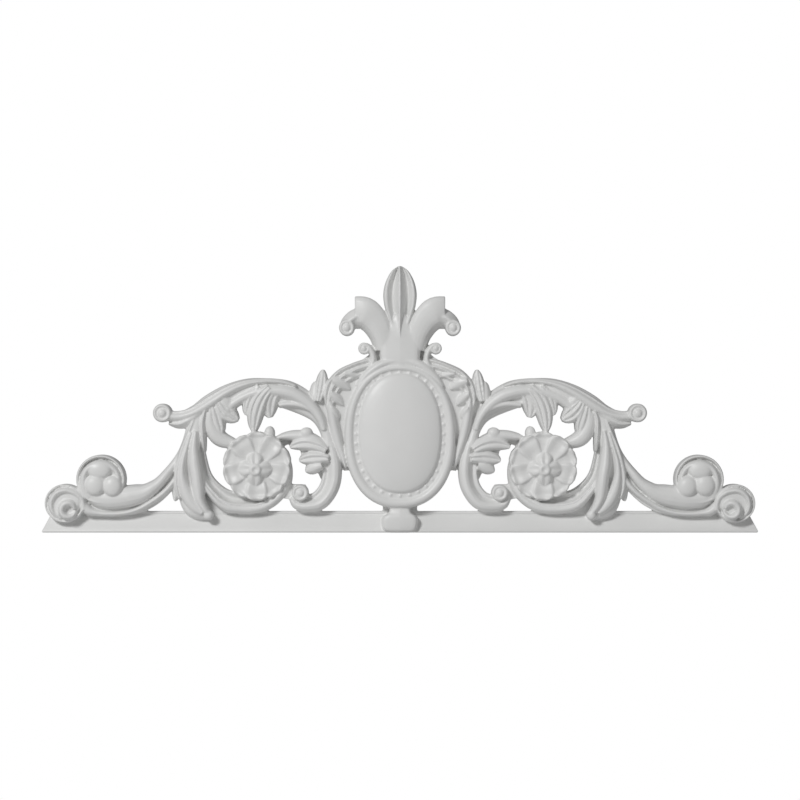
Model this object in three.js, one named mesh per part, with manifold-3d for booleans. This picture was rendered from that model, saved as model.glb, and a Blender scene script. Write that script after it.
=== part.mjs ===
// Moulded onlay for the head of a door: a long foot bar that carries pierced scrollwork, with a
// rosette in each scroll, an oval cartouche in the middle and a fleur-de-lis above it.
// It is one casting with a flat back. Sizes are millimetres, X runs along the bar, Z is up and
// the front faces -Y. The back lies on Y = 0, and the origin is the fixing point on it.
import * as THREE from "three";
import { mergeVertices } from "three/addons/utils/BufferGeometryUtils.js";
import Module from "manifold-3d";

const wasm = await Module();
wasm.setup();

// Every place below is [across, up]: across from the middle of the part, and up from the
// underside of the bar. The fixing point is behind the cartouche, this far up.
const FIXING_UP = 123;

// Solids start this far behind the back, and one flat cut then trims them all.
const SPARE = 2;

// The box that trims the back, and how near two vertices are to count as one.
const WALL = { width: 1200, thickness: 50, height: 800 };
const SAME_PLACE = 1e-4;

const PAINT = { color: 0xd3d3d2, roughness: 0.55, metalness: 0 };

// The bar is splayed like a weathered ledge and returns at its ends with the same profile.
// Each row is [up, depth].
const BAR_HALF_LENGTH_AT_BACK = 434;
const BAR_PROFILE = [
  [0, 24],
  [3, 24],
  [21, 14.5],
  [23.5, 12],
  [25, 13.5],
  [27, 12],
];

// The tab on the middle of the bar, then its steps from its edge in: [share of the half width,
// share of the half height, relief].
const TAB = { up: 17, halfWidth: 20, halfHeight: 16.5, squareness: 3.4, sides: 20 };
const TAB_STEPS = [
  [1, 1, 26],
  [0.85, 0.88, 32],
  [0.5, 0.6, 35],
];

// The cartouche, as ovals from the outside in. Each row is
// [half width, half height, middle's height above the underside, relief, rise of the beads].
// The beads stand in the channel, evenly spaced along it, with a low point between two of them.
const OVAL_SQUARENESS = 2.25;
const BEAD_COUNT = 36;
const POINTS_PER_BEAD = 2;
const OVAL_STEPS = [
  [71, 92, 123, 27],
  [66.5, 88, 124, 37],
  [61, 83, 125, 34],
  [59.5, 82, 125.5, 27],
  [55, 78.5, 126.5, 27, 6],
  [50.5, 74.5, 127.5, 27],
  [49.5, 73, 127.5, 32],
  [38, 57, 127.5, 41],
  [20, 30, 127.5, 45.5],
];
const OVAL_TOP = 47;

// Sections of the moulded bands, from one edge across to the other. Each row is
// [place from -1 to 1, rise as a share of the band's relief].
const ROUND = [
  [-1, 0.62],
  [-0.5, 0.95],
  [0.5, 0.95],
  [1, 0.62],
];
const RIDGED = [
  [-1, 0.66],
  [0, 1],
  [1, 0.66],
];
const FLAT = [
  [-1, 1],
  [1, 1],
];
const KEELED = [
  [-1, 0.72],
  [-0.8, 0.86],
  [-0.4, 0.68],
  [0, 1],
  [0.4, 0.68],
  [0.8, 0.86],
  [1, 0.72],
];
const CHANNELLED = [
  [-1, 0.74],
  [-0.55, 0.8],
  [-0.36, 0.62],
  [-0.15, 0.92],
  [0.5, 1],
  [1, 0.62],
];

// A band's end closes on a point in its middle, at this share of its relief.
const END_MIDDLE = 1 / 3;

// Middle lines of the bands. Each row is [across, up, width, relief].
const TOP_SWEEP = [
  [296, 149, 13, 28],
  [278, 148.5, 16, 29],
  [261, 154, 20, 31],
  [243, 164.5, 26, 33],
  [220, 176.5, 28, 34],
  [195, 183.5, 28, 34],
  [170, 182, 32, 34],
  [147, 177, 37, 33],
  [127, 168, 34, 32],
  [112, 157, 27, 30],
  [102, 144, 18, 28],
  [94.5, 127, 15, 28],
  [90.5, 110, 18, 29],
  [87.5, 90, 24, 30],
  [87.5, 70, 25, 31],
  [92.5, 54, 25, 31],
  [103.5, 41, 25, 31],
  [118, 37, 22, 30],
  [131, 38, 18, 28],
  [139, 45, 8, 26],
];
const SHEATH = [
  [250, 157, 14, 28],
  [268, 145.5, 21, 28],
  [283, 139, 14, 26],
  [296, 139.5, 4, 24],
];
const UNDER_SCROLL = [
  [250, 134, 9, 26],
  [256, 112, 12, 28],
  [255.5, 92, 16, 29],
  [250.5, 71, 19, 30],
  [240, 53, 25, 30],
  [223, 39, 30, 29],
  [202, 35, 30, 28],
  [181, 37, 28, 27],
  [165, 47, 27, 26],
  [152, 63, 25, 25],
  [147, 82, 18, 24],
  [151, 100, 14, 24],
];
const HUSK = [
  [256, 154, 20, 27],
  [262, 128, 24, 29],
  [265, 114, 24, 32],
  [269, 100, 24, 34],
  [271, 84, 27, 37],
  [271, 64, 30, 38],
  [268, 45, 32, 38],
  [261, 30, 33, 36],
  [250, 21, 24, 33],
  [239, 19, 10, 28],
];
const HUSK_LEAF = [
  [261, 112, 6, 34],
  [261, 92, 11, 38],
  [261, 73, 15, 40],
  [257, 54, 17, 40],
  [250, 38, 16, 38],
  [240, 28, 12, 35],
  [234, 24, 5, 30],
];
const UPPER_ARM = [
  [270, 134, 8, 28],
  [277, 114, 8, 29],
  [284, 97, 10, 30],
  [293, 82, 14, 31],
  [303, 68, 20, 32],
  [316, 56, 25, 33],
  [332, 48.5, 27, 34],
  [350, 45, 31, 34],
  [370, 43, 30, 34],
  [388, 44, 26, 34],
  [402, 54, 17, 34],
];
const LOWER_ARM = [
  [285, 76, 8, 28],
  [297, 58, 10, 29],
  [310, 44, 11, 30],
  [326, 34, 14, 31],
  [346, 27, 15, 32],
  [368, 24.5, 16, 33],
  [390, 26, 18, 34],
  [408, 31, 24, 34],
];
const SHOULDER = [
  [30, 215, 20, 30],
  [46, 211.5, 20, 33],
  [60, 206.5, 20, 34],
  [74, 199, 21, 34],
  [85, 187, 20, 34],
  [90, 171, 16, 33],
  [88, 153, 14, 31],
  [83.5, 133, 13, 30],
  [78.5, 114, 12, 29],
  [73.5, 98, 9, 28],
  [69.5, 83, 3, 26],
];
const FLEUR_FOOT = [
  [0, 203, 80, 38],
  [0, 212, 72, 41],
  [0, 222, 62, 38],
  [0, 236, 59, 35],
  [0, 254, 60, 33],
  [0, 274, 50, 26],
];
const FLEUR_PETAL = [
  [0, 236, 16, 34],
  [0, 262, 34, 36],
  [0, 288, 42, 37],
  [0, 303, 43.5, 37],
  [0, 317, 39, 36],
  [0, 328, 30, 34],
  [0, 336, 19, 31],
  [0, 341, 4, 26],
];
const SIDE_PETAL = [
  [21, 238, 28, 29],
  [25, 256, 30, 31],
  [33, 272, 35, 33],
  [44, 281, 40, 34],
  [57.5, 281.5, 41, 31],
];
const PETAL_CURL = [
  [44, 276, 26, 33],
  [58, 274, 23, 32],
  [68, 267, 20, 30],
  [71, 259, 13, 28],
];
const TENDRIL = [
  [31, 222, 14, 28],
  [38, 229, 12, 29],
  [45, 235, 11, 29],
];

// Low webs of the casting behind the dark grooves, where the ornament isn't pierced.
const SHOULDER_WEB = [
  [104, 176, 26, 20],
  [97, 158, 26, 20],
  [86, 128, 22, 20],
  [77, 100, 18, 20],
];
const OVAL_WEB = [
  [30, 222, 20, 20],
  [56, 196, 30, 20],
  [74, 168, 34, 20],
  [78, 130, 24, 20],
  [71, 92, 12, 20],
  [69, 82, 6, 20],
];
const CURL_WEB = [
  [122, 50, 22, 20],
  [150, 53, 18, 20],
];
const ARM_WEB = [
  [276, 104, 14, 20],
  [292, 68, 16, 20],
  [312, 48, 20, 20],
  [340, 34, 20, 20],
];

// Acanthus lobes. Each row is [root, bend, tip, width, relief].
const LOBES = [
  [[172, 184], [162, 170], [164, 147], 26, 31],
  [[184, 184], [179, 158], [187, 128], 24, 33],
  [[192, 180], [196, 166], [196, 150], 14, 30],
  [[236, 172], [224, 162], [211, 140], 28, 31],
  [[240, 164], [231, 148], [228, 124], 25, 31],
  [[243, 154], [241, 118], [208, 115], 22, 30],
  [[94, 108], [116, 131], [160, 120], 18, 30],
  [[92, 102], [118, 114], [142, 107], 22, 31],
  [[90, 92], [112, 98], [131, 93], 22, 31],
  [[90, 82], [108, 80], [124, 78], 19, 30],
  [[107, 170], [102, 186], [99, 208], 19, 30],
  [[111, 166], [109, 180], [109, 193], 13, 27],
  [[90, 180], [72, 186], [58, 199], 17, 36],
  [[90, 168], [74, 171], [60, 180], 17, 37],
  [[87, 152], [78, 152], [66, 158], 15, 36],
  [[78, 204], [62, 206], [46, 200], 13, 36],
  [[283, 80], [286, 62], [288, 40], 12, 28],
];

// A lobe's shape, in shares: where its sections stand along it, its width at the root, where it
// reaches its full width, where its tip begins to round, the width it ends with, and how much
// lower the tip is.
const LOBE = {
  places: [0, 0.45, 0.82, 1],
  rootWidth: 0.6,
  fullFrom: 0.6,
  tipFrom: 0.5,
  tipWidth: 0.25,
  tipDrop: 0.18,
};

// Round and oval domes. Each row is [across, up, half width, half height, relief]. A dome rises
// above its edge by a share of its smaller radius, with rings at these shares of the rise.
const DOME = { rise: 0.8, rings: [0, 0.7], sides: 8 };
const CURL_BALLS = [
  [304, 153, 12, 12, 33],
  [127.5, 51, 10.5, 10.5, 35],
  [68, 262, 10, 10.5, 34],
  [46, 235.5, 7.5, 7.5, 31],
  [236.5, 28, 7, 7, 38],
  [167, 127, 6.5, 9, 28],
];
const VOLUTE_BUDS = [
  [379, 80, 19, 15, 42],
  [370, 58, 10.5, 14, 42],
  [388.5, 59, 10, 13.5, 41],
  [418, 36, 10, 17, 42],
  [433, 34, 10, 16, 42],
];

// Each volute is a round disc with a raised rim: [across, up, radius, relief]. Its steps from the
// edge in are [share of the radius, share of the relief], and its floor is flat.
const VOLUTES = [
  [382.5, 68, 32, 36],
  [427, 36, 27, 36],
];
const VOLUTE_STEPS = [
  [1, 0.8],
  [0.88, 1],
  [0.72, 0.72],
];
const VOLUTE_FLOOR = 0.7;
const VOLUTE_SIDES = 16;

const ROSETTE = { across: 183, up: 85, radius: 43, scallop: 1.3, petals: 5, sides: 25 };
// From the rosette's edge in: [share of the radius, relief on a petal, relief between petals].
const ROSETTE_STEPS = [
  [1, 24, 22],
  [0.75, 34, 27],
  [0.48, 28, 27],
  [0.4, 36, 32],
  [0.18, 32, 32],
  [0.15, 39, 39],
];
const ROSETTE_TOP = 40;

// A closed skin over rings of points that run from one end of a solid to the other. The rings
// hold the same number of points, and both ends close on a middle point.
function skin(rings, firstMiddle, lastMiddle) {
  const around = rings[0].length;
  const points = [...rings.flat(), firstMiddle, lastMiddle];
  const first = points.length - 2;
  const last = points.length - 1;
  const lastRing = (rings.length - 1) * around;
  const triangles = [];
  for (let i = 0; i < around; i++) {
    const next = (i + 1) % around;
    for (let row = 0; row < lastRing; row += around) {
      triangles.push(row + i, row + next, row + around + next);
      triangles.push(row + i, row + around + next, row + around + i);
    }
    triangles.push(first, next, i);
    triangles.push(last, lastRing + i, lastRing + next);
  }
  const geometry = new THREE.BufferGeometry().setFromPoints(points);
  geometry.setIndex(triangles);
  return geometry;
}

// A moulded band with a section at each row of its middle line.
function band(rows, section = ROUND) {
  const line = new THREE.CatmullRomCurve3(rows.map(([x, z]) => new THREE.Vector3(x, 0, z)));
  const middles = [];
  const rings = rows.map(([x, z, width, relief], i) => {
    const along = line.getTangent(i / (rows.length - 1));
    const side = new THREE.Vector3(along.z, 0, -along.x);
    const place = (share, depth) =>
      new THREE.Vector3(x, 0, z).addScaledVector(side, (share * width) / 2).setY(-depth);
    const front = section.map(([share, rise]) => place(share, rise * relief));
    middles.push(place(0, relief * END_MIDDLE));
    return [place(-1, -SPARE), ...front, place(1, -SPARE)];
  });
  return skin(rings, middles[0], middles.at(-1));
}

// An acanthus lobe: a band that swells towards a round tip.
function lobe([root, bend, tip, width, relief]) {
  const line = new THREE.QuadraticBezierCurve(
    new THREE.Vector2(...root),
    new THREE.Vector2(...bend),
    new THREE.Vector2(...tip),
  );
  const rows = LOBE.places.map((t) => {
    const { x, y } = line.getPoint(t);
    const opened = Math.sin(Math.min(1, t / LOBE.fullFrom) * (Math.PI / 2));
    const closed = Math.max(0, (t - LOBE.tipFrom) / (1 - LOBE.tipFrom));
    const swell = LOBE.rootWidth + (1 - LOBE.rootWidth) * opened;
    const rounding = Math.max(LOBE.tipWidth, Math.sqrt(1 - closed * closed));
    return [x, y, width * swell * rounding, relief * (1 - LOBE.tipDrop * t * t)];
  });
  return band(rows, RIDGED);
}

// A mound that rises from the back in rings of one outline, up to a middle point. Each step
// gives the ring's points as a function of the angle.
function mound(steps, angles, middle, top) {
  const rings = steps.map((ring) => angles.map(ring));
  const behind = rings[0].map((point) => point.clone().setY(SPARE));
  return skin([behind, ...rings], middle.clone().setY(SPARE), middle.clone().setY(-top));
}

function evenAngles(sides) {
  return Array.from({ length: sides }, (_, i) => (i / sides) * 2 * Math.PI);
}

function oval(x, z, halfWidth, halfHeight, depth, squareness = 2) {
  const bulge = (value) => Math.sign(value) * Math.abs(value) ** (2 / squareness);
  return (angle) =>
    new THREE.Vector3(
      x + halfWidth * bulge(Math.cos(angle)),
      -depth,
      z + halfHeight * bulge(Math.sin(angle)),
    );
}

function dome([x, z, halfWidth, halfHeight, relief]) {
  const rise = Math.min(halfWidth, halfHeight) * DOME.rise;
  const steps = DOME.rings.map((share) => {
    const shrink = Math.sqrt(1 - share * share);
    return oval(x, z, halfWidth * shrink, halfHeight * shrink, relief - rise * (1 - share));
  });
  return mound(steps, evenAngles(DOME.sides), new THREE.Vector3(x, 0, z), relief);
}

function volute([x, z, radius, relief]) {
  const steps = VOLUTE_STEPS.map(([share, rise]) =>
    oval(x, z, radius * share, radius * share, relief * rise),
  );
  const middle = new THREE.Vector3(x, 0, z);
  return mound(steps, evenAngles(VOLUTE_SIDES), middle, relief * VOLUTE_FLOOR);
}

function rosette({ across, up, radius, scallop, petals, sides }) {
  const steps = ROSETTE_STEPS.map(([share, onPetal, between]) => (angle) => {
    const petal = 0.5 - 0.5 * Math.cos(petals * (angle + Math.PI / 2) + Math.PI);
    const reach = share * (radius + scallop * (2 * petal - 1));
    const depth = between + (onPetal - between) * petal;
    return new THREE.Vector3(across + reach * Math.cos(angle), -depth, up + reach * Math.sin(angle));
  });
  return mound(steps, evenAngles(sides), new THREE.Vector3(across, 0, up), ROSETTE_TOP);
}

function bar() {
  const rings = BAR_PROFILE.map(([up, depth]) => {
    const reach = BAR_HALF_LENGTH_AT_BACK + depth;
    return [
      new THREE.Vector3(-reach, SPARE, up),
      new THREE.Vector3(-reach, -depth, up),
      new THREE.Vector3(reach, -depth, up),
      new THREE.Vector3(reach, SPARE, up),
    ];
  });
  const top = BAR_PROFILE.at(-1)[0];
  return skin(rings, new THREE.Vector3(0, 0, 0), new THREE.Vector3(0, 0, top));
}

function tab({ up, halfWidth, halfHeight, squareness, sides }) {
  const steps = TAB_STEPS.map(([wide, high, relief]) =>
    oval(0, up, halfWidth * wide, halfHeight * high, relief, squareness),
  );
  const top = TAB_STEPS.at(-1)[2];
  return mound(steps, evenAngles(sides), new THREE.Vector3(0, 0, up), top);
}

function cartouche() {
  const [trackWidth, trackHeight] = OVAL_STEPS.find((row) => row[4]);
  const track = new THREE.EllipseCurve(0, 0, trackWidth, trackHeight);
  const sides = BEAD_COUNT * POINTS_PER_BEAD;
  const angles = evenAngles(sides).map((_, i) => track.getUtoTmapping(i / sides) * 2 * Math.PI);
  const steps = OVAL_STEPS.map(([halfWidth, halfHeight, up, relief, beadRise = 0]) => {
    const place = oval(0, up, halfWidth, halfHeight, relief, OVAL_SQUARENESS);
    return (angle, i) => place(angle).setY(-relief - (i % POINTS_PER_BEAD ? 0 : beadRise));
  });
  return mound(steps, angles, new THREE.Vector3(0, 0, OVAL_STEPS.at(-1)[2]), OVAL_TOP);
}

// Turns a closed geometry into a solid, with vertices that share a place made one.
function solid(geometry) {
  const plain = new THREE.BufferGeometry();
  plain.setAttribute("position", geometry.getAttribute("position"));
  plain.setIndex(geometry.index);
  const merged = mergeVertices(plain, SAME_PLACE);
  return new wasm.Manifold(
    new wasm.Mesh({
      numProp: 3,
      vertProperties: new Float32Array(merged.getAttribute("position").array),
      triVerts: new Uint32Array(merged.index.array),
    }),
  );
}

function mirrored(geometry) {
  const copy = geometry.clone().scale(-1, 1, 1);
  copy.setIndex(Array.from(geometry.index.array).reverse());
  return copy;
}

const half = [
  band(TOP_SWEEP, CHANNELLED),
  band(SHEATH, RIDGED),
  band(UNDER_SCROLL),
  band(HUSK),
  band(HUSK_LEAF, RIDGED),
  band(UPPER_ARM),
  band(LOWER_ARM, RIDGED),
  band(SHOULDER),
  band(SIDE_PETAL),
  band(PETAL_CURL, RIDGED),
  band(TENDRIL, RIDGED),
  band(SHOULDER_WEB, FLAT),
  band(OVAL_WEB, FLAT),
  band(ARM_WEB, FLAT),
  band(CURL_WEB, FLAT),
  rosette(ROSETTE),
  ...VOLUTES.map(volute),
  ...LOBES.map(lobe),
  ...CURL_BALLS.map(dome),
  ...VOLUTE_BUDS.map(dome),
];
const centre = [
  bar(),
  tab(TAB),
  cartouche(),
  band(FLEUR_FOOT),
  band(FLEUR_PETAL, KEELED),
];
const pieces = [...centre, ...half, ...half.map(mirrored)];
const cast = pieces.map(solid).reduce((whole, next) => whole.add(next));

// The flat back: everything behind Y = 0 is cut away.
const wall = new THREE.BoxGeometry(WALL.width, WALL.thickness, WALL.height);
wall.translate(0, WALL.thickness / 2, 0);
const trimmed = cast.subtract(solid(wall)).getMesh();

const skinOfCast = new THREE.BufferGeometry();
skinOfCast.setAttribute("position", new THREE.BufferAttribute(trimmed.vertProperties, 3));
skinOfCast.setIndex(new THREE.BufferAttribute(trimmed.triVerts, 1));
skinOfCast.translate(0, 0, -FIXING_UP);
skinOfCast.computeVertexNormals();

const onlay = new THREE.Mesh(skinOfCast, new THREE.MeshStandardMaterial(PAINT));
onlay.name = "onlay";
onlay.material.flatShading = true;

const part = new THREE.Group();
part.add(onlay);

export default part;
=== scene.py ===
import math

import bmesh
import bpy
from mathutils import Matrix, Vector


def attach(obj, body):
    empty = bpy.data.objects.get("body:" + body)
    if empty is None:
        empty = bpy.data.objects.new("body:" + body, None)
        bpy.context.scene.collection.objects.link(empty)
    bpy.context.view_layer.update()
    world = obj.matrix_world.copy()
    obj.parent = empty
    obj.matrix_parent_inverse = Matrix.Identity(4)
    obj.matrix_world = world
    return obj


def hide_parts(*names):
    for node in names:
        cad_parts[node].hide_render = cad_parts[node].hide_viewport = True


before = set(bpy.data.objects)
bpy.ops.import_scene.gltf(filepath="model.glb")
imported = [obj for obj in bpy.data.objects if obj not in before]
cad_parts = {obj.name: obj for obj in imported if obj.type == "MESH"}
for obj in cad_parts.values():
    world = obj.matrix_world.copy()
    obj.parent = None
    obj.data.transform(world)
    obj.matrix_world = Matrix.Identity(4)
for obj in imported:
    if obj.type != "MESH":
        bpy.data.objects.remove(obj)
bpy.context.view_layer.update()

MM = 0.001
FIXING_UP = 123 * MM

# Every solid starts this far behind the back, and one flat cut trims them all.
SPARE = 3 * MM

# The finished skin: the grain of the remesh, how it is softened, the most triangles that it may
# keep, and the angle in degrees up to which it shades smooth.
FINE_GRAIN = 1.0
SKIN_GRAIN = FINE_GRAIN * MM
SOFTENING_SHARE = 0.5
SOFTENING_ROUNDS = 3
MOST_TRIANGLES = 195_000
SMOOTH_UP_TO = 50

# Gap between the sections of a band, the fewest gaps in one, and the parts into which the smooth
# line between two rows of a table is cut.
STATION_GAP = 3.0
FEWEST_GAPS = 3
CURVE_PARTS = 12

# Sides of the round forms.
MOUND_SIDES = 28
BED_SIDES = 40
VOLUTE_SIDES = 48
BUTTON_SIDES = 24
CARTOUCHE_SIDES = 144

# Sections of the bands, from the left of the line of travel across to the right. Each row is
# (place from -1 to 1, rise as a share of the relief).
ROLL = [(-1, 0.56), (-0.92, 0.74), (-0.75, 0.88), (-0.4, 0.97), (0, 1), (0.4, 0.97), (0.75, 0.88),
        (0.92, 0.74), (1, 0.56)]
RIDGE = [(-1, 0.6), (-0.85, 0.72), (-0.5, 0.86), (-0.15, 0.98), (0, 1), (0.15, 0.98), (0.5, 0.86),
         (0.85, 0.72), (1, 0.6)]
LEAF = [(-1, 0.56), (-0.9, 0.76), (-0.66, 0.94), (-0.36, 0.99), (-0.14, 0.93), (0, 0.88),
        (0.14, 0.93), (0.36, 0.99), (0.66, 0.94), (0.9, 0.76), (1, 0.56)]
FAN = [(-1, 0.56), (-0.92, 0.76), (-0.72, 0.93), (-0.52, 0.97), (-0.36, 0.87), (-0.2, 0.95),
       (0, 1), (0.2, 0.95), (0.36, 0.87), (0.52, 0.97), (0.72, 0.93), (0.92, 0.76), (1, 0.56)]
CUP = [(-1, 0.8), (-0.95, 0.9), (-0.86, 0.97), (-0.74, 1), (-0.5, 0.97), (-0.25, 0.93),
       (0, 0.92), (0.25, 0.93), (0.5, 0.97), (0.74, 1), (0.86, 0.97), (0.95, 0.9), (1, 0.8)]
TRIPLE = [(-1, 0.58), (-0.92, 0.8), (-0.74, 0.93), (-0.54, 0.86), (-0.38, 0.77), (-0.22, 0.88),
          (0, 1), (0.22, 0.88), (0.38, 0.77), (0.54, 0.86), (0.74, 0.93), (0.92, 0.8), (1, 0.58)]
KEEL = [(-1, 0.62), (-0.95, 0.8), (-0.86, 0.87), (-0.74, 0.85), (-0.62, 0.73), (-0.5, 0.63),
        (-0.36, 0.66), (-0.2, 0.82), (-0.08, 0.96), (0, 1), (0.08, 0.96), (0.2, 0.82),
        (0.36, 0.66), (0.5, 0.63), (0.62, 0.73), (0.74, 0.85), (0.86, 0.87), (0.95, 0.8),
        (1, 0.62)]
TAIL = [(-1, 0.54), (-0.92, 0.68), (-0.78, 0.72), (-0.6, 0.66), (-0.44, 0.66), (-0.25, 0.8),
        (0, 0.94), (0.3, 1), (0.66, 0.94), (0.9, 0.78), (1, 0.56)]
SCOTIA = [(-1, 0.58), (-0.92, 0.8), (-0.74, 0.95), (-0.5, 1), (-0.32, 0.92), (-0.24, 0.88),
          (-0.12, 0.94), (0, 0.84), (0.12, 0.64), (0.3, 0.5), (0.52, 0.48), (0.7, 0.56),
          (0.86, 0.64), (1, 0.5)]
APRON = [(-1, 0.7), (-0.95, 0.85), (-0.86, 0.93), (-0.7, 0.96), (0, 1), (0.7, 0.96),
         (0.86, 0.93), (0.95, 0.85), (1, 0.7)]
LILY = [(-1, 0.8), (-0.92, 0.9), (-0.7, 0.97), (-0.3, 1), (0.05, 1), (0.35, 0.97),
        (0.58, 0.91), (0.76, 0.79), (0.9, 0.64), (1, 0.46)]
RIMMED = [(-1, 0.62), (-0.94, 0.82), (-0.82, 0.9), (-0.7, 0.86), (-0.58, 0.86), (-0.42, 0.93),
          (-0.15, 0.99), (0.2, 1), (0.6, 0.93), (0.88, 0.8), (1, 0.62)]
PILLOW = [(-1, 0.7), (-0.9, 0.86), (-0.66, 0.97), (-0.36, 1), (0, 0.95), (0.36, 1), (0.66, 0.97),
          (0.9, 0.86), (1, 0.7)]
FLAT = [(-1, 1), (0, 1), (1, 1)]

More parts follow.
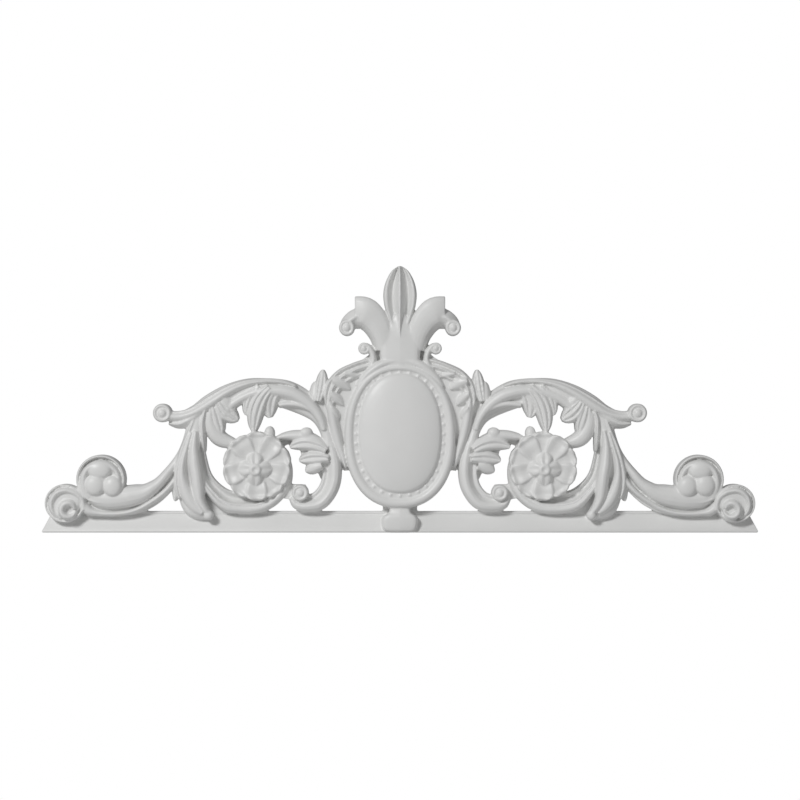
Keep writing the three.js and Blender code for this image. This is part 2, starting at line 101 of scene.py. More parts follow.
# Bands of the right half. Each row is [across, up, width, relief].
BANDS = {
    "sweep_bed": (ROLL, [
        [296, 149, 12, 24], [278, 148.5, 15, 25], [261, 154, 20, 26], [243, 163.5, 27, 28],
        [220, 175, 29, 28.5], [195, 182.5, 29, 28.5], [170, 182, 31, 28], [147, 177, 36, 25],
        [127, 168, 33, 24], [112, 157, 26, 24], [102, 144, 17.5, 25], [94.5, 127, 14.5, 27],
        [90.5, 110, 17.5, 29]]),
    "sweep_tail": (TAIL, [
        [91.5, 116, 16, 28], [90.5, 110, 18, 29], [87.5, 90, 24, 31], [87.5, 70, 25, 32],
        [92.5, 54, 25, 33], [103.5, 41, 25, 33], [118, 37, 22, 32], [131, 38, 18, 30],
        [139, 45, 8, 27]]),
    "sweep_outer_leaf": (RIMMED, [
        [133, 187.5, 4, 29], [148, 192.2, 6, 31], [168, 194, 7, 32], [190, 191.8, 9, 34],
        [207, 186.8, 12, 35], [223, 179, 14, 36], [238, 169.5, 16, 36], [252, 160.5, 16, 35],
        [266, 153, 14, 33], [281, 148.8, 14, 31], [296, 149, 13, 30]]),
    "sweep_inner_leaf": (ROLL, [
        [97, 131, 10, 30], [101, 144, 12, 32], [109, 157, 15, 33], [121, 168.5, 17, 34],
        [136, 177, 18, 35], [153, 181, 17, 35], [172, 181.5, 15, 34], [190, 177.5, 14, 33],
        [206, 170, 14, 32], [219, 160, 13, 31], [228, 147, 9, 30]]),
    "sweep_inner_rim": (ROLL, [
        [99, 136, 5, 28], [105, 148, 7, 30], [115, 157.5, 8, 31], [128, 163, 9, 31],
        [142, 164.5, 9, 30], [155, 163, 8, 29]]),
    "sheath": (RIDGE, [
        [250, 157, 14, 31], [268, 145.5, 20, 31], [283, 139, 13, 29], [296, 139.5, 4, 25]]),
    "under_scroll": (SCOTIA, [
        [250, 134, 9, 26], [256, 112, 12, 28], [255.5, 92, 16, 29], [250, 71, 18, 31],
        [238.5, 54.5, 21, 33], [222.5, 41, 27, 33], [202, 37, 27, 31], [181, 38, 26, 30],
        [165, 47, 27, 28], [152, 63, 25, 27], [147, 82, 18, 26], [151, 100, 14, 25]]),
    "husk": (ROLL, [
        [257, 154, 19, 28], [263.5, 128, 21, 29], [267, 114, 20, 30], [270.5, 100, 21, 30],
        [272.5, 86, 24, 28], [272.5, 68, 27, 25], [270, 47, 27, 28], [264.5, 32, 25, 30],
        [253, 24, 17, 29], [242, 22, 10, 27]]),
    "husk_rib": (RIDGE, [
        [247, 160, 6, 33], [252, 146, 8, 34], [252.5, 130, 8, 33], [251.5, 116, 7, 31],
        [250.5, 104, 4, 27]]),
    "husk_leaf": (ROLL, [
        [261, 130, 7, 33], [263.5, 110, 13, 37], [262.5, 90, 17, 40], [259.5, 72, 17, 42],
        [257.5, 56, 17, 42], [255.5, 43, 14, 41], [250, 32, 11, 39], [244, 24, 9, 36]]),
    "husk_front": (ROLL, [
        [267, 128, 5, 32], [273.5, 106, 7, 35], [277.5, 90, 9, 37], [278.5, 74, 11, 38],
        [275.5, 58, 16, 38], [269.5, 44, 18, 37.5], [262, 33, 16, 36], [253, 25, 10, 34]]),
    "husk_back_rib": (ROLL, [
        [263, 146, 5, 30], [270, 128, 5, 31], [278, 108, 6, 33], [283, 90, 7, 34],
        [286, 73, 7, 34], [285.5, 57, 6, 33], [282, 44, 4, 31]]),
    "husk_web": (FLAT, [[250, 50, 16, 13], [240, 34, 18, 13], [228, 22, 16, 13]]),
    "upper_arm": (ROLL, [
        [270, 134, 8, 24], [275, 118, 7, 24], [280.5, 104, 7, 26], [286, 93, 9, 28],
        [292.5, 83, 11, 30], [301, 72, 13, 33], [308.5, 63.5, 15, 34], [317, 57, 18, 35],
        [327, 51, 22.5, 35], [338, 48, 27, 35], [350, 45.8, 28.5, 35], [370, 43.5, 28, 34],
        [388, 45, 24, 33], [401, 54, 16, 33]]),
    "lower_arm": (ROLL, [
        [282, 84, 6, 30], [287, 70, 7, 31], [295, 58.5, 8, 32], [303.5, 50, 8, 32],
        [313.5, 42.5, 7.5, 31], [323.5, 36, 7, 30], [335, 30, 7, 30], [350, 25.6, 6.5, 30],
        [368, 24, 6.5, 30], [386, 25, 8, 30], [398, 28, 13, 32], [405, 35, 14, 33]]),
    "shoulder": (TRIPLE, [
        [30, 215, 20, 31], [46, 211.5, 20, 34], [60, 206.5, 20, 36], [74, 199, 21, 36],
        [85, 187, 20, 36], [89.5, 172, 16, 35], [90, 160, 10, 32], [89, 150, 5, 29]]),
    "shoulder_stem": (ROLL, [
        [90, 176, 6, 31], [88.5, 162, 11, 34], [86, 148, 13, 34], [83, 132, 13, 33],
        [78.5, 114, 12, 32], [73.5, 98, 9, 30], [69.5, 83, 3, 27]]),
    "side_petal": (LILY, [
        [20, 234, 26, 32], [22, 244, 28, 33.5], [26, 257, 32, 35], [34, 271, 37, 36],
        [45, 280.5, 41, 37], [57.5, 281.5, 41, 33.5]]),
    "petal_curl": (RIDGE, [
        [44, 278, 22, 32], [57, 275.5, 21, 35], [67, 268, 18, 34], [72, 259, 12, 31]]),
    "tendril": (ROLL, [
        [38, 212, 9, 33], [34, 221, 9, 33], [36, 231, 9, 33], [41, 238.5, 7, 33],
        [47, 240, 6, 32]]),
    "yoke": (ROLL, [
        [-3, 219.5, 12, 36], [10, 219, 12, 36], [24, 215, 13, 37], [36, 207.5, 13, 37],
        [46, 198, 11, 36], [54, 187, 7, 34]]),
    "shoulder_web": (FLAT, [
        [104, 176, 26, 20], [97, 158, 26, 20], [86, 128, 22, 20], [77, 100, 18, 20]]),
    "oval_web": (FLAT, [
        [30, 222, 20, 22], [56, 196, 30, 27], [74, 168, 34, 26], [78, 130, 24, 22],
        [72, 98, 12, 20], [70, 88, 8, 12], [69, 79, 6, 12]]),
    "curl_web": (FLAT, [[122, 50, 22, 20], [150, 53, 18, 20]]),
    "tendril_web": (FLAT, [[26, 211, 14, 16], [28, 224, 14, 16], [31, 235, 11, 16]]),
    "leaf_web": (FLAT, [[96, 108, 20, 18], [112, 105, 16, 18], [127, 102, 10, 18]]),
    "scroll_web": (FLAT, [[92, 79, 12, 12], [104, 74, 11, 12]]),
    "rosette_web": (FLAT, [[139, 117, 6, 10], [147, 116, 9, 10], [156, 112, 9, 10]]),
    "arm_web": (FLAT, [
        [276, 104, 14, 20], [292, 70, 18, 20], [312, 48, 20, 20], [332, 36, 20, 20],
        [352, 30, 16, 20], [384, 30, 16, 20], [402, 38, 16, 20]]),
}
CENTRE_BANDS = {
    "fleur_petal": (KEEL, [
        [0, 240, 5, 33], [0, 250, 12, 35], [0, 262, 20, 37], [0, 275, 30, 38.5],
        [0, 288, 39, 39.5], [0, 303, 43, 40], [0, 317, 39, 39], [0, 328, 30, 37],
        [0, 336, 19, 34], [0, 341, 4, 29]]),
    "fleur_throat": (APRON, [
        [0, 212, 54, 35], [0, 222, 51, 36], [0, 232, 52, 35.5], [0, 244, 50, 34.8],
        [0, 256, 40, 34.3], [0, 268, 27, 33], [0, 280, 14, 31]]),
    "tab": (APRON, [
        [0, 0, 28, 29], [0, 1.5, 36, 31.5], [0, 4, 42, 33.5], [0, 8, 45, 34.5],
        [0, 14, 46.5, 35], [0, 18, 46, 35], [0, 21, 42, 35], [0, 23.5, 34, 34],
        [0, 26, 28, 32.5], [0, 34, 27, 31]]),
    "tab_web": (FLAT, [[-22, 29.5, 8, 12], [22, 29.5, 8, 12]]),
}

# The volutes' coils, as bands round a middle: each row is [angle in degrees, radius, width,
# relief].
COILS = {
    "first_coil": (ROLL, [382.5, 68], [
        [-58, 26, 14, 33], [-35, 24.5, 13, 35], [-10, 22.5, 11.5, 37], [20, 21.5, 10, 38.5],
        [50, 21, 9.5, 39], [85, 21, 9.5, 39], [120, 21.5, 9, 38], [150, 22.5, 8.5, 37],
        [178, 23.5, 8, 36], [205, 24.5, 7, 35], [230, 26, 4, 32]]),
    "second_coil": (ROLL, [428.5, 37.5], [
        [200, 26, 9, 33], [170, 23, 9, 35], [140, 19.5, 9, 37], [105, 17, 9, 38],
        [70, 16.5, 9, 39], [35, 16.5, 9, 39], [0, 17, 9, 38], [-30, 18, 8, 37],
        [-55, 19, 6, 34], [-75, 20, 4, 31]]),
    "second_bud": (ROLL, [422, 29.5], [
        [170, 7, 7, 38], [130, 8, 9, 41], [90, 9, 10.5, 43], [50, 9.5, 11, 43.5],
        [10, 10, 11, 43.5], [-30, 10, 10.5, 43], [-70, 9.5, 10, 42], [-110, 9, 8, 40],
        [-150, 8.5, 6, 38], [-175, 8, 4, 35]]),
}

# Acanthus lobes. Each row is [root, bend, tip, width, relief].
RIBBED_LOBES = [
    [[157, 181], [173, 172], [166, 147], 25, 32],
    [[166, 185], [188, 168], [187, 128], 23, 36],
    [[180, 187], [197, 172], [197, 150], 15, 33],
    [[105, 168], [100.5, 186], [98.5, 208.5], 16, 31],
    [[231, 166], [224, 152], [207, 144], 23, 34],
    [[239, 160], [236, 144], [229, 125], 21, 33],
]
VEINED_LOBES = [
    [[94, 105], [118, 121], [141, 109], 19, 34],
    [[91, 95], [112, 98], [129, 92], 19, 35],
]
PLAIN_LOBES = [
    [[226, 173], [220, 165], [211, 157], 18, 33],
    [[244, 154], [244, 113], [207, 115], 21, 31],
    [[95, 109], [118, 131], [159, 121], 15, 31],
    [[100, 86], [110, 84], [121, 78], 17, 33],
    [[111, 165], [109.5, 180], [109, 193], 12, 29],
    [[283, 80], [286, 62], [288, 40], 12, 30],
    [[86, 194], [76, 194], [64, 183], 19, 38],
    [[70, 203], [60, 203], [50, 199], 11, 37],
    [[88, 178], [82, 174], [73, 163], 15, 37],
    [[87, 160], [83, 155], [79, 146], 11, 36],
]
# A lobe's shape: its number of steps, and in shares its width at the root, where it reaches its
# full width, where its tip begins to round, how narrow the tip gets (squared), and how much lower
# the tip is.
LOBE_STEPS = 10
LOBE_ROOT_WIDTH = 0.6
LOBE_FULL_FROM = 0.6
LOBE_TIP_FROM = 0.5
LOBE_TIP_SQUARED = 0.05
LOBE_TIP_DROP = 0.2

# Balls, the eyes of curls, and the volutes' buds, pit, floors and beds. Each row is [across, up,
# half width, half height, relief].
PLAIN_BALLS = [[244.5, 22.5, 6, 6, 37], [167, 127, 6.5, 9, 29], [120, 127.5, 8, 7, 31]]
CURL_EYES = [[304, 153, 12, 12, 34], [127.5, 51, 10.5, 10.5, 36], [68, 262, 10, 10.5, 36],
             [46, 235.5, 7.5, 7.5, 34]]
FIRST_BUDS = [[383.5, 80.5, 15.5, 12, 41], [367, 59.5, 12.5, 13.5, 41],
              [389.5, 61, 13.5, 14, 41], [386, 67, 12, 12, 38]]
VOLUTE_PIT = [421.5, 29.5, 6.5, 6.5, 30]
VOLUTE_FLOORS = [[382.5, 68, 31.5, 31.5, 34], [428.5, 37.5, 25.5, 24.5, 34]]
VOLUTE_BEDS = [[382.5, 68, 23, 23, 32], [428.5, 37.5, 20, 19, 33]]

# The rosette: two rings of big cupped petals, four small full ones and a dimpled button. The
# petal's rows are [share of its reach, width, relief]; a ring is [rise, turn from straight down
# in degrees]. The small petals are [middle, root, tip, width, relief].
ROSETTE_BED = [183, 85, 41.5, 41.5, 29.5]
PETAL_START = 3
PETAL_REACH = 44
PETAL_GAP = 2.2
PETAL_ROWS = [
    [0, 9, 29], [0.15, 14, 29.5], [0.3, 20, 30.5], [0.45, 25, 32], [0.6, 28.5, 33.6],
    [0.7, 30, 33.8], [0.78, 30, 33.2], [0.84, 29, 33.6], [0.9, 25.5, 35.6], [0.95, 20, 35.6],
    [0.98, 14, 33.8], [1, 9, 31]]
PETAL_RINGS = [[0.94, 36], [1, 0]]
PETALS = 5
SMALL_PETALS = [[185, 81.5], 4, 21.5, 22, 39.5]
BUTTON = [184.5, 80.5, 8, 8, 42]

# The cartouche, as ovals from the outside in: [half width, half height, middle's height, relief].
OVAL_SQUARENESS = 2.25
OVAL_STEPS = [
    [71, 92, 123, 25], [70.4, 91.4, 123.2, 31], [68.8, 90, 123.5, 35], [66.5, 88, 124, 36.8],
    [64, 85.8, 124.4, 37], [62, 84, 124.8, 36.2], [60.8, 83, 125, 35.2], [60, 82.3, 125.2, 33.8],
    [59.2, 81.6, 125.5, 33.2], [53, 76.6, 127, 33.2], [52.4, 76, 127.2, 35],
    [51.4, 75, 127.4, 37.2], [49.6, 73, 127.5, 38.8], [45, 66.8, 127.5, 40.6],
    [38, 57, 127.5, 42.6], [29, 43.5, 127.5, 44.5], [19, 28.5, 127.5, 45.9],
    [9, 13.5, 127.5, 46.7]]
OVAL_TOP = 47

# The beads in its channel: the oval that they follow, as [half width, half height, middle's
# height], the parts into which it is cut to measure it, and the beads' own sizes.
BEAD_TRACK = [56, 79, 126.3]
TRACK_PARTS = 720
BEAD_COUNT = 36
BEAD_RADIUS = 2.6
BEAD_MIDDLE = 32.3
BEAD_SEGMENTS = 16
BEAD_RINGS = 10

# The bar: [up, depth], and how far it reaches at the back before its ends return.
BAR_HALF_LENGTH_AT_BACK = 434
BAR_PROFILE = [
    [0, 23.4], [0.6, 24], [2.4, 24], [3, 23.6], [21, 14.5], [22.6, 12.4], [23.6, 12.2],
    [24.2, 13.2], [25, 13.6], [26, 13.2], [27, 12]]

# Profiles of the round forms, from the edge in: (share of the radius, drop as a share of it).
DOME = [(1, 0.85), (0.97, 0.66), (0.87, 0.45), (0.7, 0.26), (0.48, 0.11), (0.24, 0.03), (0, 0)]
CUSHION = [(1, 0.75), (0.96, 0.5), (0.86, 0.3), (0.7, 0.15), (0.48, 0.06), (0.24, 0.01), (0, 0)]
EYE = [(1, 0.8), (0.97, 0.42), (0.88, 0.2), (0.76, 0.14), (0.64, 0.26), (0.54, 0.34),
       (0.44, 0.22), (0.3, 0.06), (0.15, 0.01), (0, 0)]
FLOOR = [(1, 0.3), (0.96, 0.12), (0.88, 0.02), (0.5, 0), (0, 0)]
RIMMED_FLOOR = [(1, 0.26), (0.985, 0.12), (0.955, 0.04), (0.92, 0.05), (0.885, 0.2), (0.86, 0.32),
                (0.6, 0.34), (0, 0.34)]
BUTTON_PROFILE = [(1, 0.75), (0.97, 0.42), (0.88, 0.2), (0.75, 0.06), (0.6, 0.02), (0.46, 0.08),
                  (0.36, 0.2), (0.24, 0.3), (0.12, 0.33), (0, 0.34)]

# The primer. Each noise is (cells per metre, detail, roughness of the detail), and it is read
# between the two values of NOISE_SPAN.
PRIMER_IOR = 1.45
NOISE_SPAN = (0.3, 0.7)
CLOUD_NOISE = (9, 4, 0.5)
CLOUD_COLOURS = ((0.775, 0.777, 0.768, 1), (0.82, 0.82, 0.812, 1))
SHEEN_NOISE = (34, 3, 0.6)
SHEEN_ROUGHNESS = ((0.34, 0.34, 0.34, 1), (0.48, 0.48, 0.48, 1))
PEEL_NOISE = (520, 2, 0.5)
PEEL_STRENGTH = 0.18
PEEL_DEPTH = 0.4 * MM

# The camera, in millimetres for its lens and film and in metres for the rest.
CAMERA_LENS = 150
FILM_WIDTH = 36
FRAME_WIDTH = 1.024
PICTURE_MIDDLE_UP = 0.1696
MEAN_RELIEF = 0.02
FARTHEST_SEEN = 50

# The studio, in metres and watts. Each light is (place, size, power).
FLOOR_SIZE = 4
FLOOR_UP = -1.1
FLOOR_COLOUR = (0.9, 0.9, 0.9, 1)
FLOOR_ROUGHNESS = 0.8
KEY_LIGHT = ((-2.8, -4.6, 2.8), 1.1, 194)
FILL_LIGHT = ((2.2, -2.6, 0.6), 1.8, 3)
WHITE = (1, 1, 1, 1)
SURROUND_AS_SEEN = 1.0
SURROUND_AS_LIGHT = 0.23


def start_fresh():
    if bpy.context.object and bpy.context.object.mode != "OBJECT":
        bpy.ops.object.mode_set(mode="OBJECT")
    bpy.ops.object.select_all(action="DESELECT")


def named(name):
    piece = bpy.context.object
    piece.name = name
    return piece


def settle(piece):
    """Puts a piece's place into its mesh and leaves the object at the origin."""
    start_fresh()
    piece.select_set(True)
    bpy.context.view_layer.objects.active = piece
    bpy.ops.object.transform_apply(location=True, rotation=True, scale=True)


def choose(vertices):
    """Selects these vertices of the mesh in edit mode and no others."""
    bpy.ops.mesh.select_all(action="DESELECT")
    for vertex in vertices:
        vertex.select_set(True)
    bmesh.update_edit_mesh(bpy.context.object.data, loop_triangles=False, destructive=False)


def grouped(vertices, axis):
    """The vertices in groups that share a place along an axis, from the lowest up."""
    groups = {}
    for vertex in vertices:
        groups.setdefault(round(vertex.co[axis], 6), []).append(vertex)
    return [groups[place] for place in sorted(groups)]


def flowing(rows, gap=STATION_GAP):
    """Evenly spaced rows along the smooth line through the given rows."""
    ends = [rows[0], *rows, rows[-1]]
    fine = []
    for p, q, r, s in zip(ends, ends[1:], ends[2:], ends[3:]):
        for part in range(CURVE_PARTS):
            t = part / CURVE_PARTS
            fine.append([
                b + 0.5 * t * (c - a + t * (2 * a - 5 * b + 4 * c - d + t * (3 * (b - c) + d - a)))
                for a, b, c, d in zip(p, q, r, s)])
    fine.append(rows[-1])
    gone = [0]
    for before, after in zip(fine, fine[1:]):
        gone.append(gone[-1] + math.dist(before[:2], after[:2]))
    gaps = max(FEWEST_GAPS, round(gone[-1] / gap))
    even = []
    i = 0
    for number in range(gaps + 1):
        place = gone[-1] * number / gaps
        while i < len(fine) - 2 and gone[i + 1] < place:
            i += 1
        t = (place - gone[i]) / (gone[i + 1] - gone[i])
        even.append([a + (b - a) * t for a, b in zip(fine[i], fine[i + 1])])
    return even


def shaped_strip(name, length, section, sizes):
    """A closed strip along X: a grid whose rows take the section and whose columns the sizes."""
    start_fresh()
    bpy.ops.mesh.primitive_grid_add(
        x_subdivisions=len(sizes) - 1, y_subdivisions=len(section) - 1, size=length,
        location=(length / 2, 0, 0))
    strip = named(name)
    bpy.ops.object.mode_set(mode="EDIT")
    mesh = bmesh.from_edit_mesh(strip.data)
    columns = grouped(mesh.verts, 0)
    rows = grouped(mesh.verts, 1)
    for row, (place, rise) in zip(rows, reversed(section)):
        choose(row)
        bpy.ops.transform.translate(value=(0, -place / 2 - row[0].co.y, rise))
    for column, (width, relief) in zip(columns, sizes):
        choose(column)
        bpy.ops.transform.resize(value=(1, width, relief), center_override=(0, 0, 0))
    bpy.ops.mesh.select_all(action="SELECT")
    bpy.ops.mesh.extrude_region()
    bpy.ops.transform.resize(value=(1, 1, 0), center_override=(0, 0, 0))
    bpy.ops.transform.translate(value=(0, 0, -SPARE))
    bpy.ops.mesh.select_all(action="SELECT")
    bpy.ops.mesh.normals_make_consistent(inside=False)
    bpy.ops.object.mode_set(mode="OBJECT")
    settle(strip)
    return strip


def bent(strip, line):
    """Bends a strip along a line of [across, up] in metres."""
    curve = bpy.data.curves.new("line", "CURVE")
    curve.dimensions = "2D"
    spline = curve.splines.new("POLY")
    spline.points.add(len(line) - 1)
    for point, (across, up) in zip(spline.points, line):
        point.co = (across, up, 0, 1)
    path = bpy.data.objects.new("line", curve)
    bpy.context.collection.objects.link(path)
    modifier = strip.modifiers.new("bend", "CURVE")
    modifier.object = path
    modifier.deform_axis = "POS_X"
    bpy.context.view_layer.objects.active = strip
    bpy.ops.object.modifier_apply(modifier=modifier.name)
    bpy.data.objects.remove(path)
    return strip


def band(name, section, rows):
    """A closed strip along the smooth line through rows of [across, up, width, relief]."""
    stations = [[value * MM for value in row] for row in flowing(rows)]
    line = [row[:2] for row in stations]
    length = sum(math.dist(a, b) for a, b in zip(line, line[1:]))
    strip = shaped_strip(name, length, section, [row[2:] for row in stations])
    return bent(strip, line)


def coil(name, section, middle, rows):
    """A band that winds round a middle, from rows of [angle, radius, width, relief]."""
    across, up = middle
    return band(name, section, [
        [across + radius * math.cos(math.radians(angle)), up + radius * math.sin(math.radians(angle)),
         width, relief]
        for angle, radius, width, relief in rows])


def lobe(name, section, root, bend, tip, width, relief):
    """An acanthus lobe: a band that swells from its root and ends in a round tip."""
    rows = []
    for step in range(LOBE_STEPS + 1):
        t = step / LOBE_STEPS
        place = [
            (1 - t) ** 2 * a + 2 * t * (1 - t) * b + t * t * c for a, b, c in zip(root, bend, tip)]
        opened = math.sin(min(1, t / LOBE_FULL_FROM) * math.pi / 2)
        closed = max(0, (t - LOBE_TIP_FROM) / (1 - LOBE_TIP_FROM))
        swell = LOBE_ROOT_WIDTH + (1 - LOBE_ROOT_WIDTH) * opened
        rounding = math.sqrt(max(LOBE_TIP_SQUARED, 1 - closed ** 2))
        rows.append([*place, width * swell * rounding, relief * (1 - LOBE_TIP_DROP * t * t)])
    return band(name, section, rows)


def outline_disc(name, across, up, half_width, half_height, sides, squareness=2.0):
    """A filled disc behind the back, whose edge is an oval or a rounder square."""
    start_fresh()
    bpy.ops.mesh.primitive_circle_add(
        vertices=sides, radius=1, fill_type="NGON", location=(0, 0, -SPARE))
    disc = named(name)
    for vertex in disc.data.vertices:
        stretch = (abs(vertex.co.x) ** squareness + abs(vertex.co.y) ** squareness) ** (
            -1 / squareness)
        vertex.co.x *= stretch
        vertex.co.y *= stretch
    disc.scale = (half_width * MM, half_height * MM, 1)
    disc.location = (across * MM, up * MM, -SPARE)
    settle(disc)
    return disc


def raised(piece, steps, top, across=0):
    """Raises a disc in steps of [half width, half height, middle's height, relief]."""
    bpy.context.view_layer.objects.active = piece
    bpy.ops.object.mode_set(mode="EDIT")
    bpy.ops.mesh.select_all(action="SELECT")
    width, height, up, _relief = steps[0]
    relief = -SPARE / MM
    for new_width, new_height, new_up, new_relief in steps:
        bpy.ops.mesh.extrude_region()
        bpy.ops.transform.resize(
            value=(new_width / width, new_height / height, 1),
            center_override=(across * MM, up * MM, 0))
        bpy.ops.transform.translate(value=(0, (new_up - up) * MM, (new_relief - relief) * MM))
        width, height, up, relief = new_width, new_height, new_up, new_relief
    bpy.ops.mesh.poke(offset=0)
    vertices = bmesh.from_edit_mesh(piece.data).verts
    choose([max(vertices, key=lambda vertex: len(vertex.link_edges))])
    bpy.ops.transform.translate(value=(0, 0, (top - relief) * MM))
    bpy.ops.mesh.select_all(action="SELECT")
    bpy.ops.mesh.normals_make_consistent(inside=False)
    bpy.ops.object.mode_set(mode="OBJECT")
    return piece


def mound(name, row, profile, sides=MOUND_SIDES):
    """A round form over an oval, with a profile that runs from its edge to its middle."""
    across, up, half_width, half_height, relief = row
    radius = min(half_width, half_height)
    disc = outline_disc(name, across, up, half_width, half_height, sides)
    steps = [
        [half_width * share, half_height * share, up, relief - drop * radius]
        for share, drop in profile[:-1]]
    return raised(disc, steps, relief - profile[-1][1] * radius, across)


def copied(piece, matrix):
    """A copy of a piece with its own mesh, moved by a matrix."""
    copy = piece.copy()
    copy.data = piece.data.copy()
    copy.data.transform(matrix)
    bpy.context.collection.objects.link(copy)
    return copy


def rosette():
    """Five petals over five more, four smaller ones and a button, on a round bed."""
    length = (PETAL_REACH - PETAL_START) * MM
    rows = [[share * length / MM, 0, width, relief] for share, width, relief in PETAL_ROWS]
    sizes = [[width * MM, relief * MM] for _, _, width, relief in flowing(rows, PETAL_GAP)]
    petal = shaped_strip("petal", length, CUP, sizes)
    petal.data.transform(Matrix.Translation((PETAL_START * MM, 0, 0)))
    middle = Matrix.Translation((ROSETTE_BED[0] * MM, ROSETTE_BED[1] * MM, 0))
    pieces = []
    for rise, turn in PETAL_RINGS:
        for number in range(PETALS):
            angle = math.radians(turn - 90 + number * 360 / PETALS)
            pieces.append(copied(
                petal, middle @ Matrix.Rotation(angle, 4, "Z") @ Matrix.Diagonal((1, 1, rise, 1))))
    bpy.data.objects.remove(petal)
    (across, up), root, tip, width, relief = SMALL_PETALS
    for x, y in ((1, 0), (0, 1), (-1, 0), (0, -1)):
        root_place, bend_place, tip_place = (
            [across + x * reach, up + y * reach] for reach in (root, (root + tip) / 2, tip))
        pieces.append(lobe("small_petal", PILLOW, root_place, bend_place, tip_place, width, relief))
    pieces.append(mound("rosette_bed", ROSETTE_BED, FLOOR, BED_SIDES))
    pieces.append(mound("rosette_button", BUTTON, BUTTON_PROFILE, BUTTON_SIDES))
    return pieces


def cartouche():
    """The domed oval with its moulded rim, and the beads that stand in its channel."""
    half_width, half_height, up, _relief = OVAL_STEPS[0]
    oval = outline_disc(
        "cartouche", 0, up, half_width, half_height, CARTOUCHE_SIDES, OVAL_SQUARENESS)
    raised(oval, OVAL_STEPS, OVAL_TOP)
    return [oval, *beads()]


def beads():
    """One bead, copied at even steps along its oval track."""
    half_width, half_height, up = BEAD_TRACK
    bpy.ops.mesh.primitive_uv_sphere_add(
        segments=BEAD_SEGMENTS, ring_count=BEAD_RINGS, radius=BEAD_RADIUS * MM,
        location=(0, 0, BEAD_MIDDLE * MM))
    bead = named("bead")
    settle(bead)
    track = []
    for i in range(TRACK_PARTS + 1):
        turn = 2 * math.pi * i / TRACK_PARTS
        x, y = math.cos(turn), math.sin(turn)
        stretch = (abs(x) ** OVAL_SQUARENESS + abs(y) ** OVAL_SQUARENESS) ** (-1 / OVAL_SQUARENESS)
        track.append((half_width * x * stretch, up + half_height * y * stretch))
    gone = [0]
    for before, after in zip(track, track[1:]):
        gone.append(gone[-1] + math.dist(before, after))
    pieces = []
    for number in range(BEAD_COUNT):
        wanted = gone[-1] * number / BEAD_COUNT
        nearest = min(range(TRACK_PARTS), key=lambda i: abs(gone[i] - wanted))
        across, height = track[nearest]
        pieces.append(copied(bead, Matrix.Translation((across * MM, height * MM, 0))))
    bpy.data.objects.remove(bead)
    return pieces


def bar():
    """The foot bar: its lowest slice, raised step by step, with the ends returning mitred."""
    start_fresh()
    bpy.ops.mesh.primitive_plane_add(size=1, location=(0, 0, 0), rotation=(math.pi / 2, 0, 0))
    ledge = named("foot_bar")
    up, depth = BAR_PROFILE[0]
    ledge.scale = (2 * (BAR_HALF_LENGTH_AT_BACK + depth) * MM, depth * MM + SPARE, 1)
    ledge.location = (0, up * MM, (depth * MM - SPARE) / 2)
    settle(ledge)
    bpy.ops.object.mode_set(mode="EDIT")
    bpy.ops.mesh.select_all(action="SELECT")
    for new_up, new_depth in BAR_PROFILE[1:]:
        bpy.ops.mesh.extrude_region()
        bpy.ops.transform.translate(value=(0, (new_up - up) * MM, 0))
        bpy.ops.transform.resize(
            value=(
                (BAR_HALF_LENGTH_AT_BACK + new_depth) / (BAR_HALF_LENGTH_AT_BACK + depth), 1,
                (new_depth * MM + SPARE) / (depth * MM + SPARE)),
            center_override=(0, 0, -SPARE))
        up, depth = new_up, new_depth
    bpy.ops.mesh.select_all(action="SELECT")
    bpy.ops.mesh.normals_make_consistent(inside=False)
    bpy.ops.object.mode_set(mode="OBJECT")
    return ledge


def joined(name, pieces):
    """One object of all the pieces, whose solids still overlap."""
    start_fresh()
    for piece in pieces:
        piece.select_set(True)
    bpy.context.view_layer.objects.active = pieces[0]
    bpy.ops.object.join()
    return named(name)


def mirrored_half(half):
    """The left half: a mirrored copy whose faces are turned outwards again."""
    other = copied(half, Matrix.Diagonal((-1, 1, 1, 1)))
    start_fresh()
    other.select_set(True)
    bpy.context.view_layer.objects.active = other
    bpy.ops.object.mode_set(mode="EDIT")
    bpy.ops.mesh.select_all(action="SELECT")
    bpy.ops.mesh.flip_normals()
    bpy.ops.object.mode_set(mode="OBJECT")
    return other


def apply_modifier(piece, kind, **settings):
    modifier = piece.modifiers.new(kind.lower(), kind)
    for name, value in settings.items():
        setattr(modifier, name, value)
    bpy.context.view_layer.objects.active = piece
    bpy.ops.object.modifier_apply(modifier=modifier.name)


def cast_in_one(piece):
    """Makes one skin of all the overlapping solids, softens it and cuts its back flat."""
    start_fresh()
    piece.select_set(True)
    apply_modifier(piece, "REMESH", mode="VOXEL", voxel_size=SKIN_GRAIN)
    apply_modifier(piece, "SMOOTH", factor=SOFTENING_SHARE, iterations=SOFTENING_ROUNDS)
    bpy.ops.object.mode_set(mode="EDIT")
    bpy.ops.mesh.select_all(action="SELECT")
    bpy.ops.mesh.bisect(plane_co=(0, 0, 0), plane_no=(0, 0, 1), use_fill=True, clear_inner=True)
    bpy.ops.object.mode_set(mode="OBJECT")
    apply_modifier(piece, "TRIANGULATE")
    triangles = len(piece.data.polygons)
    if triangles > MOST_TRIANGLES:
        apply_modifier(piece, "DECIMATE", ratio=MOST_TRIANGLES / triangles)


def stand_up(piece):
    """Turns the casting from the bench to the frame, with its fixing point at the origin."""
    piece.data.transform(Matrix.Translation((0, 0, -FIXING_UP)) @ Matrix.Rotation(math.pi / 2, 4, "X"))


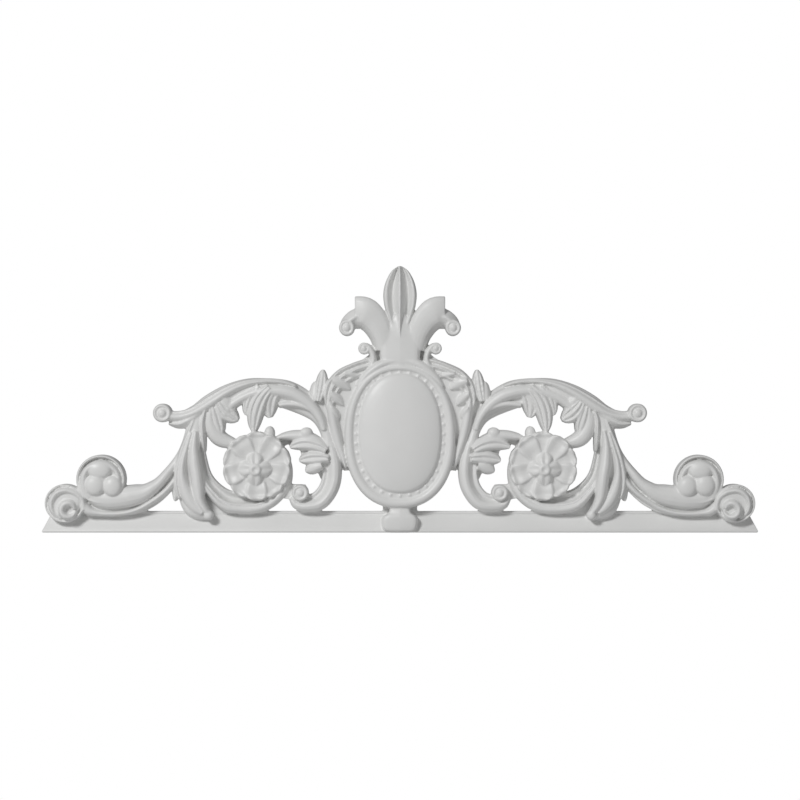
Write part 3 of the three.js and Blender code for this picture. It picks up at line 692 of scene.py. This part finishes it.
def primer():
    """Satin white primer, sprayed on: a faint cloudiness, a little more sheen on some patches and
    the fine orange peel of the spray."""
    material = bpy.data.materials.new("satin_white_primer")
    material.use_nodes = True
    nodes, links = material.node_tree.nodes, material.node_tree.links
    shader = nodes["Principled BSDF"]
    shader.inputs["IOR"].default_value = PRIMER_IOR
    place = nodes.new("ShaderNodeTexCoord")

    def noise(scale, detail, roughness):
        texture = nodes.new("ShaderNodeTexNoise")
        texture.inputs["Scale"].default_value = scale
        texture.inputs["Detail"].default_value = detail
        texture.inputs["Roughness"].default_value = roughness
        links.new(place.outputs["Object"], texture.inputs["Vector"])
        return texture.outputs["Fac"]

    def ramp(source, colours):
        stops = nodes.new("ShaderNodeValToRGB")
        for stop, position, colour in zip(stops.color_ramp.elements, NOISE_SPAN, colours):
            stop.position = position
            stop.color = colour
        links.new(source, stops.inputs["Fac"])
        return stops.outputs["Color"]

    links.new(ramp(noise(*CLOUD_NOISE), CLOUD_COLOURS), shader.inputs["Base Color"])
    links.new(ramp(noise(*SHEEN_NOISE), SHEEN_ROUGHNESS), shader.inputs["Roughness"])
    peel = nodes.new("ShaderNodeBump")
    peel.inputs["Strength"].default_value = PEEL_STRENGTH
    peel.inputs["Distance"].default_value = PEEL_DEPTH
    links.new(noise(*PEEL_NOISE), peel.inputs["Height"])
    links.new(peel.outputs["Normal"], shader.inputs["Normal"])
    return material


def right_half():
    """Everything that the casting has on both sides, for its right side."""
    half = [band(name, section, rows) for name, (section, rows) in BANDS.items()]
    half += [coil(name, *shape) for name, shape in COILS.items()]
    half += [lobe("ribbed_lobe", FAN, *row) for row in RIBBED_LOBES]
    half += [lobe("veined_lobe", LEAF, *row) for row in VEINED_LOBES]
    half += [lobe("plain_lobe", ROLL, *row) for row in PLAIN_LOBES]
    half += [mound("ball", row, DOME) for row in PLAIN_BALLS]
    half += [mound("bud", row, CUSHION) for row in FIRST_BUDS]
    half += [mound("eye", row, EYE) for row in CURL_EYES]
    half += [mound("volute_floor", row, RIMMED_FLOOR, VOLUTE_SIDES) for row in VOLUTE_FLOORS]
    half += [mound("volute_bed", row, FLOOR, BED_SIDES) for row in [*VOLUTE_BEDS, VOLUTE_PIT]]
    half += rosette()
    return joined("right_half", half)


def centre():
    """What stands once on the casting, over its middle, and the bar that runs under it all."""
    pieces = [band(name, section, rows) for name, (section, rows) in CENTRE_BANDS.items()]
    return [*pieces, bar(), *cartouche()]


def build_onlay():
    right = right_half()
    left = mirrored_half(right)
    casting = joined("onlay_casting", [right, left, *centre()])
    cast_in_one(casting)
    stand_up(casting)
    start_fresh()
    casting.select_set(True)
    bpy.context.view_layer.objects.active = casting
    bpy.ops.object.shade_smooth_by_angle(angle=math.radians(SMOOTH_UP_TO))
    casting.data.materials.clear()
    casting.data.materials.append(primer())
    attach(casting, "root")
    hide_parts("onlay")


def camera():
    """Level and straight on, with the frame's width measured at the mean relief."""
    distance = FRAME_WIDTH * CAMERA_LENS / FILM_WIDTH + MEAN_RELIEF
    bpy.ops.object.camera_add(
        location=(0, -distance, PICTURE_MIDDLE_UP - FIXING_UP), rotation=(math.pi / 2, 0, 0))
    view = bpy.context.object
    view.data.lens = CAMERA_LENS
    view.data.sensor_width = FILM_WIDTH
    view.data.clip_end = FARTHEST_SEEN
    bpy.context.scene.camera = view


def soft_light(name, place, size, power):
    """An area light that faces the onlay."""
    bpy.ops.object.light_add(type="AREA", location=place)
    light = bpy.context.object
    light.name = name
    light.data.size = size
    light.data.energy = power
    light.rotation_euler = (-Vector(place)).to_track_quat("-Z", "Y").to_euler()


def studio_floor():
    bpy.ops.mesh.primitive_plane_add(size=FLOOR_SIZE, location=(0, 0, FLOOR_UP))
    floor = named("studio_floor")
    paint = bpy.data.materials.new("pale_floor")
    paint.use_nodes = True
    shader = paint.node_tree.nodes["Principled BSDF"]
    shader.inputs["Base Color"].default_value = FLOOR_COLOUR
    shader.inputs["Roughness"].default_value = FLOOR_ROUGHNESS
    floor.data.materials.append(paint)


def white_surround():
    """A surround that the camera sees as white, and that lights the onlay only a little."""
    world = bpy.data.worlds.new("white_surround")
    bpy.context.scene.world = world
    world.use_nodes = True
    nodes, links = world.node_tree.nodes, world.node_tree.links
    seen = nodes["Background"]
    seen.inputs["Color"].default_value = WHITE
    seen.inputs["Strength"].default_value = SURROUND_AS_SEEN
    around = nodes.new("ShaderNodeBackground")
    around.inputs["Color"].default_value = WHITE
    around.inputs["Strength"].default_value = SURROUND_AS_LIGHT
    mix = nodes.new("ShaderNodeMixShader")
    rays = nodes.new("ShaderNodeLightPath")
    links.new(rays.outputs["Is Camera Ray"], mix.inputs["Fac"])
    links.new(around.outputs["Background"], mix.inputs[1])
    links.new(seen.outputs["Background"], mix.inputs[2])
    links.new(mix.outputs["Shader"], nodes["World Output"].inputs["Surface"])


def studio():
    studio_floor()
    soft_light("key_light", *KEY_LIGHT)
    soft_light("fill_light", *FILL_LIGHT)
    white_surround()
    bpy.context.scene.view_settings.view_transform = "Standard"


build_onlay()
camera()
studio()
